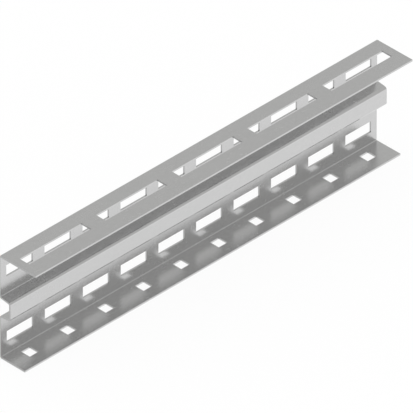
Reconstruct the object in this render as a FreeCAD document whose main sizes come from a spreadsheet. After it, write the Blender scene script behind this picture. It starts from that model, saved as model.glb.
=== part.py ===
import FreeCAD, Part
import os
import Sketcher

# Solar mounting rail: one strip of zinc-coated steel, punched with four rows
# of holes and rolled into an open channel. +X runs along the rail, the web
# stands at the back (+Y), both flanges point forward (-Y) and the rail stands
# on its bottom flange. Origin: centre of the bounding box, on the floor.

document = FreeCAD.newDocument("SolarMountingRail")


# Driving dimensions, in millimetres

drivingSizes = {
    # the strip and its outline
    "rail_length": 400.0,
    "rail_height": 94.4,
    "top_flange_width": 39.1,
    "bottom_flange_width": 27.0,
    "sheet_thickness": 1.5,
    "bend_inner_radius": 0.6,
    # stiffening rib, rolled forward out of the middle of the web
    "rib_depth": 12.0,
    "rib_crest_width": 16.3,
    "rib_root_width": 19.1,
    "crest_inner_radius": 1.2,
    # two rows of bolt slots in the web, as far from the floor as from the top
    "hole_pitch": 40.0,
    "web_slot_length": 27.7,
    "web_slot_width": 10.2,
    "web_row_inset": 16.95,
    # one row of long slots in the top flange, at twice the hole pitch
    "top_slot_length": 65.0,
    "top_slot_width": 10.2,
    "top_row_inset": 19.6,
    # one row of square holes in the bottom flange, for coach bolts
    "square_hole_width": 9.2,
    "square_row_inset": 11.9,
}

sheet = document.addObject("Spreadsheet::Sheet", "Sizes")
for row, (alias, value) in enumerate(drivingSizes.items(), start=1):
    sheet.set("A%d" % row, alias)
    sheet.set("B%d" % row, str(value))
    sheet.setAlias("B%d" % row, alias)
document.recompute()

body = document.addObject("PartDesign::Body", "MountingRail")
body.Label = "mounting_rail"
body.Placement = FreeCAD.Placement()


# Helpers

def newSketch(name, role, **shifts):
    """A sketch on an origin plane; shifts x, y and z are expressions."""
    sketch = body.newObject("Sketcher::SketchObject", name)
    plane = next(item for item in body.Origin.OriginFeatures if item.Role == role)
    sketch.AttachmentSupport = [(plane, "")]
    sketch.MapMode = "FlatFace"
    for axis, expression in shifts.items():
        sketch.setExpression("AttachmentOffset.Base." + axis, expression)
    return sketch


def addOutline(sketch, corners):
    """Straight lines from corner to corner, level or upright where they are drawn so."""
    points = [FreeCAD.Vector(x, y, 0) for x, y in corners]
    for start, end in zip(points, points[1:] + points[:1]):
        line = sketch.addGeometry(Part.LineSegment(start, end), False)
        if start.y == end.y:
            sketch.addConstraint(Sketcher.Constraint("Horizontal", line))
        if start.x == end.x:
            sketch.addConstraint(Sketcher.Constraint("Vertical", line))
    for line in range(len(points)):
        following = (line + 1) % len(points)
        sketch.addConstraint(Sketcher.Constraint("Coincident", line, 2, following, 1))


def addSize(sketch, name, expression, kind, *arguments):
    """A dimension that follows the sheet."""
    index = sketch.addConstraint(Sketcher.Constraint(kind, *arguments))
    sketch.renameConstraint(index, name)
    sketch.setExpression("Constraints." + name, expression)


def rebuiltVolume(feature):
    document.recompute()
    return feature.Shape.Volume


# Folded section, seen along the rail: its x is +Y and its y is +Z

thickness = sheet.sheet_thickness
height = sheet.rail_height
webBack = sheet.top_flange_width / 2
webFront = webBack - thickness
crestFront = webBack - sheet.rib_depth
crestBack = crestFront + thickness
bottomLip = webBack - sheet.bottom_flange_width
ribMiddle = height / 2
halfCrest = sheet.rib_crest_width / 2
halfRoot = sheet.rib_root_width / 2

section = newSketch("FoldedSection", "YZ_Plane")
addOutline(section, [
    (-webBack, height),
    (webBack, height),
    (webBack, ribMiddle + halfRoot - thickness),
    (crestBack, ribMiddle + halfCrest - thickness),
    (crestBack, ribMiddle - halfCrest + thickness),
    (webBack, ribMiddle - halfRoot + thickness),
    (webBack, 0),
    (bottomLip, 0),
    (bottomLip, thickness),
    (webFront, thickness),
    (webFront, ribMiddle - halfRoot),
    (crestFront, ribMiddle - halfCrest),
    (crestFront, ribMiddle + halfCrest),
    (webFront, ribMiddle + halfRoot),
    (webFront, height - thickness),
    (-webBack, height - thickness),
])
# the lines in that order; point 1 of each is the corner it starts from
(topOuter, webBackUpper, ribBackUpper, crestBackFace, ribBackLower, webBackLower,
 bottomOuter, bottomLipFace, bottomInner, webFrontLower, ribFrontLower,
 crestFrontFace, ribFrontUpper, webFrontUpper, topInner, topLipFace) = range(16)
origin, floorLine = -1, -1

# the section stands on the floor, with its top flange centred over the origin
section.addConstraint(Sketcher.Constraint("PointOnObject", bottomOuter, 1, floorLine))
addSize(section, "webPlace", "Sizes.top_flange_width / 2",
        "DistanceX", origin, 1, topOuter, 2, webBack)
# above and below the rib the web is one plane, on both faces
section.addConstraint(Sketcher.Constraint("Vertical", ribBackUpper, 1, webBackLower, 1))
section.addConstraint(Sketcher.Constraint("Vertical", ribFrontLower, 1, webFrontUpper, 1))

addSize(section, "railHeight", "Sizes.rail_height",
        "DistanceY", bottomOuter, 1, topOuter, 2, height)
addSize(section, "topFlangeWidth", "Sizes.top_flange_width",
        "DistanceX", topOuter, 1, topOuter, 2, 2 * webBack)
addSize(section, "bottomFlangeWidth", "Sizes.bottom_flange_width",
        "DistanceX", bottomOuter, 2, bottomOuter, 1, webBack - bottomLip)
addSize(section, "topThickness", "Sizes.sheet_thickness",
        "DistanceY", topLipFace, 1, topLipFace, 2, thickness)
addSize(section, "bottomThickness", "Sizes.sheet_thickness",
        "DistanceY", bottomLipFace, 1, bottomLipFace, 2, thickness)
addSize(section, "webThickness", "Sizes.sheet_thickness",
        "DistanceX", webFrontLower, 1, bottomOuter, 1, thickness)
addSize(section, "crestThickness", "Sizes.sheet_thickness",
        "DistanceX", crestFrontFace, 1, crestBackFace, 2, thickness)
addSize(section, "ribDepth", "Sizes.rib_depth",
        "DistanceX", crestFrontFace, 1, webBackLower, 1, webBack - crestFront)
addSize(section, "crestWidth", "Sizes.rib_crest_width",
        "DistanceY", crestFrontFace, 1, crestFrontFace, 2, 2 * halfCrest)
addSize(section, "rootWidth", "Sizes.rib_root_width",
        "DistanceY", ribFrontLower, 1, webFrontUpper, 1, 2 * halfRoot)
addSize(section, "crestHeight", "(Sizes.rail_height - Sizes.rib_crest_width) / 2",
        "DistanceY", bottomOuter, 1, crestFrontFace, 1, ribMiddle - halfCrest)
addSize(section, "rootHeight", "(Sizes.rail_height - Sizes.rib_root_width) / 2",
        "DistanceY", bottomOuter, 1, ribFrontLower, 1, ribMiddle - halfRoot)
# the rib's sloping walls keep the sheet's thickness, measured square to them
section.addConstraint(Sketcher.Constraint("Parallel", ribBackUpper, ribFrontUpper))
section.addConstraint(Sketcher.Constraint("Parallel", ribBackLower, ribFrontLower))
addSize(section, "upperWallThickness", "Sizes.sheet_thickness",
        "Distance", crestBackFace, 1, ribFrontUpper, thickness)
addSize(section, "lowerWallThickness", "Sizes.sheet_thickness",
        "Distance", crestBackFace, 2, ribFrontLower, thickness)

rail = body.newObject("PartDesign::Pad", "RolledSection")
rail.Profile = section
rail.SideType = "Symmetric"
rail.setExpression("Length", "Sizes.rail_length")
document.recompute()


# Bends: both faces of a fold turn about one centre, a sheet's thickness apart.
# The two at the rib's crest are rounder than the others.

def addBends(name, base, cornerLines, radius):
    """Rounds the long edges that start from the corners of these section lines."""
    edges = []
    for line in cornerLines:
        corner = section.Geometry[line].StartPoint
        for number, edge in enumerate(base.Shape.Edges, start=1):
            middle = edge.CenterOfMass
            if abs(middle.y - corner.x) + abs(middle.z - corner.y) < thickness / 100:
                edges.append("Edge%d" % number)
    bends = body.newObject("PartDesign::Fillet", name)
    bends.Base = (base, edges)
    bends.setExpression("Radius", radius)
    document.recompute()
    print(name, len(edges), "edges rounded")
    return bends


innerBends = addBends(
    "InnerBends", rail, (topInner, webFrontLower, webFrontUpper, ribFrontLower),
    "Sizes.bend_inner_radius")
outerBends = addBends(
    "OuterBends", innerBends, (webBackUpper, bottomOuter, ribBackUpper, webBackLower),
    "Sizes.bend_inner_radius + Sizes.sheet_thickness")
crestInnerBends = addBends(
    "CrestInnerBends", outerBends, (crestBackFace, ribBackLower),
    "Sizes.crest_inner_radius")
addBends(
    "CrestOuterBends", crestInnerBends, (crestFrontFace, ribFrontUpper),
    "Sizes.crest_inner_radius + Sizes.sheet_thickness")


# Punched rows: one sharp-cornered hole, repeated along the rail

def punchRow(name, pitch, holeLength, holeWidth, role, **face):
    """The row is centred on the rail, with as many holes as its length takes.

    pitch is an expression, holeLength and holeWidth are names in the sheet.
    role and face give the plane that is punched: its z lies on the sheet's
    outer face and its y on the row.
    """
    # the hundredth keeps a length of whole pitches from losing its last hole
    count = "floor(Sizes.rail_length / (%s) + 0.01)" % pitch
    outline = newSketch(name + "Outline", role, x="-(%s - 1) * %s / 2" % (count, pitch), **face)
    halfLength = sheet.get(holeLength) / 2
    halfWidth = sheet.get(holeWidth) / 2
    addOutline(outline, [(-halfLength, -halfWidth), (halfLength, -halfWidth),
                         (halfLength, halfWidth), (-halfLength, halfWidth)])
    outline.addConstraint(Sketcher.Constraint("Symmetric", 0, 1, 2, 1, origin, 1))
    addSize(outline, "holeLength", "Sizes." + holeLength, "DistanceX", 0, 1, 0, 2, 2 * halfLength)
    addSize(outline, "holeWidth", "Sizes." + holeWidth, "DistanceY", 1, 1, 1, 2, 2 * halfWidth)

    whole = rebuiltVolume(body.Tip)
    punch = body.newObject("PartDesign::Pocket", name + "Punch")
    punch.Profile = outline
    # sketches on the floor or on the web's back look away from the sheet
    punch.Reversed = role == "XZ_Plane" or "z" not in face
    punch.setExpression("Length", "2 * Sizes.sheet_thickness")
    oneHole = whole - rebuiltVolume(punch)
    if abs(oneHole - 4 * halfLength * halfWidth * thickness) > 0.01:
        raise RuntimeError("%s: the punch does not pass cleanly through the sheet" % name)

    holes = body.newObject("PartDesign::LinearPattern", name)
    holes.Originals = [punch]
    holes.Direction = (outline, ["H_Axis"])
    holes.Mode = "Spacing"
    holes.setExpression("Offset", pitch)
    holes.setExpression("Occurrences", count)
    body.Tip = holes
    if abs(whole - rebuiltVolume(holes) - holes.Occurrences * oneHole) > 0.01:
        raise RuntimeError("%s: holes of the row are missing" % name)
    print(name, holes.Occurrences, "holes")


webOuterFace = "-Sizes.top_flange_width / 2"
punchRow("LowerWebSlots", "Sizes.hole_pitch", "web_slot_length", "web_slot_width",
         "XZ_Plane", y="Sizes.web_row_inset", z=webOuterFace)
punchRow("UpperWebSlots", "Sizes.hole_pitch", "web_slot_length", "web_slot_width",
         "XZ_Plane", y="Sizes.rail_height - Sizes.web_row_inset", z=webOuterFace)
punchRow("TopFlangeSlots", "2 * Sizes.hole_pitch", "top_slot_length", "top_slot_width",
         "XY_Plane", y="Sizes.top_flange_width / 2 - Sizes.top_row_inset",
         z="Sizes.rail_height")
punchRow("BottomSquareHoles", "Sizes.hole_pitch", "square_hole_width", "square_hole_width",
         "XY_Plane", y="Sizes.top_flange_width / 2 - Sizes.square_row_inset")


# Tests and export

for item in document.Objects:
    if "Invalid" in item.State or "Error" in item.State:
        raise RuntimeError("%s did not rebuild" % item.Name)
if body.Shape.isNull() or not body.Shape.isValid() or len(body.Shape.Solids) != 1:
    raise RuntimeError("the rail is not one valid solid")

os.makedirs("parts", exist_ok=True)
body.Shape.exportStep("parts/%s.step" % body.Label)
box = body.Shape.BoundBox
print("size", box.XLength, box.YLength, box.ZLength, "from", box.XMin, box.YMin, box.ZMin)
print("volume", body.Shape.Volume, "faces", len(body.Shape.Faces))
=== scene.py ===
import math

import bpy
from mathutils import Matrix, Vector


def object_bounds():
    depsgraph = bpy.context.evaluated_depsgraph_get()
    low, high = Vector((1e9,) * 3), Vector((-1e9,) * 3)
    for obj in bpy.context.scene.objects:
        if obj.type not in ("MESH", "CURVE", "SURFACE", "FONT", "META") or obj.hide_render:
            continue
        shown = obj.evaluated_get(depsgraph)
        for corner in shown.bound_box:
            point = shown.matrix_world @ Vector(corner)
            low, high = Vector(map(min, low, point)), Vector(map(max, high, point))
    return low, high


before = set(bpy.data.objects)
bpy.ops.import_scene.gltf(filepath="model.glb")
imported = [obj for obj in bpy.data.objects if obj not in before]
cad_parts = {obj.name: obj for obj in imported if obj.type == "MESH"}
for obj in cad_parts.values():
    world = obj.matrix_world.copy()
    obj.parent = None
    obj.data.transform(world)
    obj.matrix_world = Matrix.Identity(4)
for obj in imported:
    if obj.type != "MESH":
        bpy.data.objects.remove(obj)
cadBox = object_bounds()

scene = bpy.context.scene
scene.view_settings.view_transform = "Standard"
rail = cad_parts["mounting_rail"]
print("frame loaded:", ", ".join(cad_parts))


# Shader maths: a socket that can be added, multiplied and so on

class Value:
    def __init__(self, tree, socket):
        self.tree = tree
        self.socket = socket

    def maths(self, operation, *items, clamp=False):
        node = self.tree.nodes.new("ShaderNodeMath")
        node.operation = operation
        node.use_clamp = clamp
        for slot, item in zip(node.inputs, items):
            if isinstance(item, Value):
                self.tree.links.new(item.socket, slot)
            else:
                slot.default_value = item
        return Value(self.tree, node.outputs[0])

    def __add__(self, other):
        return self.maths("ADD", self, other)

    def __radd__(self, other):
        return self.maths("ADD", other, self)

    def __sub__(self, other):
        return self.maths("SUBTRACT", self, other)

    def __rsub__(self, other):
        return self.maths("SUBTRACT", other, self)

    def __mul__(self, other):
        return self.maths("MULTIPLY", self, other)

    def __rmul__(self, other):
        return self.maths("MULTIPLY", other, self)

    def __truediv__(self, other):
        return self.maths("DIVIDE", self, other)

    def __rtruediv__(self, other):
        return self.maths("DIVIDE", other, self)

    def __abs__(self):
        return self.maths("ABSOLUTE", self)

    def held(self):  # kept between 0 and 1
        return self.maths("ADD", self, 0.0, clamp=True)

    def rise(self, low, high):  # 0 below low, 1 above high
        return ((self - low) / (high - low)).held()


class Shader:  # the node tree of one material or world
    def __init__(self, owner):
        owner.use_nodes = True
        self.tree = owner.node_tree
        self.tree.nodes.clear()

    def add(self, kind, settings=None, **sockets):
        node = self.tree.nodes.new(kind)
        for name, setting in (settings or {}).items():
            if name == "stops":
                self.fillRamp(node.color_ramp, setting)
            else:
                setattr(node, name, setting)
        for name, item in sockets.items():
            numbered = name[1:].isdigit()   # _0, _1 and so on count the inputs
            slot = node.inputs[int(name[1:]) if numbered else name.replace("_", " ")]
            if isinstance(item, Value):
                item = item.socket
            if isinstance(item, bpy.types.NodeSocket):
                self.tree.links.new(item, slot)
            else:
                slot.default_value = item
        return node

    def fillRamp(self, ramp, stops):
        while len(ramp.elements) < len(stops):
            ramp.elements.new(0.5)
        for element, (place, colour) in zip(ramp.elements, stops):
            element.position = place
            element.color = colour

    def value(self, node, output=0):
        return Value(self.tree, node.outputs[output])


def grey(level):
    return (level, level, level, 1.0)


# Camera: a very long lens from the front left, 35 degrees up

camera = {
    "azimuth": -44.94,        # degrees; -90 is the rail's left end, 0 its front
    "elevation": 35.264,
    "halfAngle": 0.63,        # degrees; nearly parallel, but the other views clip below 0.6
    "frameWidth": 0.3108,     # metres across the picture at the rail's middle
    "aim": (0.0003, 0.0011, 0.00056),  # metres that the aim moves from the rail's middle
    "sensor": 36.0,           # millimetres, as the lens length is
    "clipStart": 0.01,        # as shares of the distance to the rail
    "clipEnd": 3.0,
}


def placeCamera(s):
    data = bpy.data.cameras.new("camera")
    body = bpy.data.objects.new("camera", data)
    scene.collection.objects.link(body)
    turn = math.radians(s["azimuth"])
    lift = math.radians(s["elevation"])
    back = Vector((math.sin(turn) * math.cos(lift), -math.cos(turn) * math.cos(lift), math.sin(lift)))
    half = math.radians(s["halfAngle"])
    distance = s["frameWidth"] / 2 / math.tan(half)
    middle = (cadBox[0] + cadBox[1]) / 2
    data.sensor_width = s["sensor"]
    data.lens = s["sensor"] / 2 / math.tan(half)
    data.clip_start = s["clipStart"] * distance
    data.clip_end = s["clipEnd"] * distance
    body.location = middle + Vector(s["aim"]) + back * distance
    body.rotation_mode = "QUATERNION"
    body.rotation_quaternion = (-back).to_track_quat("-Z", "Y")
    scene.camera = body


placeCamera(camera)
print("camera placed")


# Studio: white floor and horizon, a dimmer ceiling and one soft lamp

studio = {
    "floorSize": 12.0,
    "floorColour": 0.95,
    "floorGlow": 0.92,        # share of plain white in the floor as camera and metal see it
    "floorGap": 0.0002,       # metres below the rail
    "horizon": 1.0,           # level at the horizon and below, as camera and metal see it
    "ceiling": (0.622, 0.622, 0.614),  # colour overhead, a little warmer than plain grey
    "ceilingFrom": 0.1,       # height on the dome where the ceiling starts, 1 is straight up
    "fill": 1.0,              # level of the light that comes from all round
    "lampPower": 6.0,         # watts
    "lampSize": 1.2,
    "lampPlace": (-1.6, -1.4, 2.2),
}


def seenDirectly(shader):  # 1 for camera, mirror and glass rays
    path = shader.add("ShaderNodeLightPath")
    rays = (shader.value(path, "Is Camera Ray") + shader.value(path, "Is Glossy Ray")
            + shader.value(path, "Is Transmission Ray"))
    return rays.held()


def makeWorld(s):
    world = bpy.data.worlds.new("studio")
    scene.world = world
    shader = Shader(world)
    direction = shader.add("ShaderNodeTexCoord")
    parts = shader.add("ShaderNodeSeparateXYZ", Vector=direction.outputs["Generated"])
    ceiling = s["ceiling"] + (1.0,)
    stops = [(0.0, grey(s["horizon"])), (s["ceilingFrom"], ceiling), (1.0, ceiling)]
    dome = shader.add("ShaderNodeValToRGB", {"stops": stops}, Fac=parts.outputs["Z"])
    seen = shader.add("ShaderNodeBackground", Color=dome.outputs["Color"], Strength=1.0)
    fill = shader.add("ShaderNodeBackground", Color=grey(1.0), Strength=s["fill"])
    mixed = shader.add("ShaderNodeMixShader", _0=seenDirectly(shader),
                       _1=fill.outputs[0], _2=seen.outputs[0])
    shader.add("ShaderNodeOutputWorld", Surface=mixed.outputs[0])


def makeFloor(s):
    mesh = bpy.data.meshes.new("studio_floor")
    half = s["floorSize"] / 2
    mesh.from_pydata([(-half, -half, 0), (half, -half, 0), (half, half, 0), (-half, half, 0)],
                     [], [(0, 1, 2, 3)])
    floor = bpy.data.objects.new("studio_floor", mesh)
    floor.location.z = cadBox[0].z - s["floorGap"]
    scene.collection.objects.link(floor)
    material = bpy.data.materials.new("studio_floor")
    shader = Shader(material)
    paper = shader.add("ShaderNodeBsdfDiffuse", Color=grey(s["floorColour"]))
    glow = shader.add("ShaderNodeEmission", Color=grey(1.0), Strength=1.0)
    mixed = shader.add("ShaderNodeMixShader", _0=seenDirectly(shader) * s["floorGlow"],
                       _1=paper.outputs[0], _2=glow.outputs[0])
    shader.add("ShaderNodeOutputMaterial", Surface=mixed.outputs[0])
    mesh.materials.append(material)


def makeLamp(s):
    data = bpy.data.lights.new("soft_lamp", "AREA")
    data.energy = s["lampPower"]
    data.size = s["lampSize"]
    lamp = bpy.data.objects.new("soft_lamp", data)
    lamp.location = s["lampPlace"]
    lamp.rotation_mode = "QUATERNION"
    lamp.rotation_quaternion = (-Vector(s["lampPlace"])).to_track_quat("-Z", "Y")
    scene.collection.objects.link(lamp)


makeWorld(studio)
makeFloor(studio)
makeLamp(studio)
print("studio ready")


# Zinc-coated strip: faint spangle, rolling streaks, burnished bends that also carry a painted
# highlight, duller sheared ends that also carry painted shade

zinc = {
    "colour": 0.62,
    "roughness": 0.25,
    "spangleSize": 0.0024,    # metres, about one crystal
    "spangleTone": 0.03,      # how far crystals differ, as a share of the colour
    "spangleGloss": 0.04,     # and in roughness
    "spangleWaver": 0.7,      # waves of its outline to one crystal's width
    "streakWidth": 0.0006,
    "streakLength": 0.05,
    "streakTone": 0.025,
    "streakGloss": 0.03,
    "cloudSize": 0.03,        # wide soft patches
    "cloudTone": 0.015,
    "cloudGloss": 0.03,
    "grainSize": 0.0003,      # fine grain of the rolled surface
    "grainTone": 0.04,
    "grainGloss": 0.03,
    "fineDetail": 3.0,        # octaves of the streaks and the grain
    "softDetail": 2.0,        # and of the clouds and the orange peel
    "peelSize": 0.0018,       # the coating's slight orange peel
    "peelStreak": 0.5,        # share of the streaks in it
    "peelDepth": 0.000002,
    "bendAndHighlightEdge": (0.16, 0.26),   # how far a bend's face leans where its mask starts and is full
    "bendRoughness": 0.05,
    # painted highlight: bends lighter, standing in for the bright reflection along them
    "bendHighlightTone": 0.03,
    "shearedAndShadeEdge": (0.5, 0.8),  # and how far a sheared face looks along the rail
    # partly painted shade: cut faces darker than bare steel alone, standing in for their darker
    # reflection
    "shearedShadeColour": 0.43,
    "shearedRoughness": 0.34,
    "shearedTone": 0.12,
}


def evenNoise(shader, place, scale, detail, roughness=0.55):  # about -0.5 to 0.5, mean 0
    node = shader.add("ShaderNodeTexNoise", Vector=place, Scale=scale, Detail=detail,
                      Roughness=roughness)
    return shader.value(node) - 0.5


def zincSteel(s):
    material = bpy.data.materials.new("zinc_coated_steel")
    shader = Shader(material)
    coordinates = shader.add("ShaderNodeTexCoord")
    place = coordinates.outputs["Object"]
    facing = shader.add("ShaderNodeSeparateXYZ", Vector=coordinates.outputs["Normal"])
    alongRail, acrossRail, upRail = (abs(shader.value(facing, axis)) for axis in "XYZ")

    # masks: 1 on a bend, where a lighter painted highlight joins the real burnish; 1 on a face that
    # was cut across the strip, where painted shade darkens the real bare steel
    bendAndHighlight = (acrossRail * upRail).rise(*s["bendAndHighlightEdge"])
    shearedAndShade = alongRail.rise(*s["shearedAndShadeEdge"])

    # crystals with wavy outlines, one random grey each
    waver = shader.add("ShaderNodeTexNoise", Vector=place, Scale=s["spangleWaver"] / s["spangleSize"])
    warp = shader.add("ShaderNodeVectorMath", {"operation": "MULTIPLY_ADD"},
                      _0=waver.outputs["Color"], _1=(s["spangleSize"],) * 3, _2=place)
    cells = shader.add("ShaderNodeTexVoronoi", Vector=warp.outputs[0], Scale=1 / s["spangleSize"])
    cellGrey = shader.add("ShaderNodeSeparateColor", Color=cells.outputs["Color"])
    crystal = shader.value(cellGrey) - 0.5

    # streaks stretched along the rail, wide soft clouds and fine grain
    acrossStreak = 1 / s["streakWidth"]
    stretched = shader.add("ShaderNodeMapping", Vector=place,
                           Scale=(1 / s["streakLength"], acrossStreak, acrossStreak))
    streak = evenNoise(shader, stretched.outputs[0], 1.0, s["fineDetail"])
    cloud = evenNoise(shader, place, 1 / s["cloudSize"], s["softDetail"])
    grain = evenNoise(shader, place, 1 / s["grainSize"], s["fineDetail"])

    # coated faces and sheared faces each have their own grey and gloss; the lighter bend grey is a
    # painted highlight and the darker sheared grey is partly painted shade
    flatToneAndHighlight = (1.0 + crystal * s["spangleTone"] + streak * s["streakTone"] + cloud * s["cloudTone"]
                + grain * s["grainTone"] + bendAndHighlight * s["bendHighlightTone"]) * s["colour"]
    cutToneAndShade = (1.0 + grain * s["shearedTone"]) * s["shearedShadeColour"]
    tone = flatToneAndHighlight * (1 - shearedAndShade) + cutToneAndShade * shearedAndShade
    flatGloss = (s["roughness"] + crystal * s["spangleGloss"] + streak * s["streakGloss"]
                 + cloud * s["cloudGloss"] + grain * s["grainGloss"])
    gloss = (flatGloss + (s["bendRoughness"] - flatGloss) * bendAndHighlight) * (1 - shearedAndShade)
    gloss = gloss + shearedAndShade * s["shearedRoughness"]

    peel = evenNoise(shader, place, 1 / s["peelSize"], s["softDetail"]) + streak * s["peelStreak"]
    bump = shader.add("ShaderNodeBump", Strength=1.0, Distance=s["peelDepth"], Height=peel)
    colour = shader.add("ShaderNodeCombineColor", Red=tone, Green=tone, Blue=tone)
    surface = shader.add("ShaderNodeBsdfPrincipled", Base_Color=colour.outputs[0], Metallic=1.0,
                         Roughness=gloss, Normal=bump.outputs[0])
    shader.add("ShaderNodeOutputMaterial", Surface=surface.outputs[0])
    return material


rail.data.materials[0] = zincSteel(zinc)
print("finish applied")
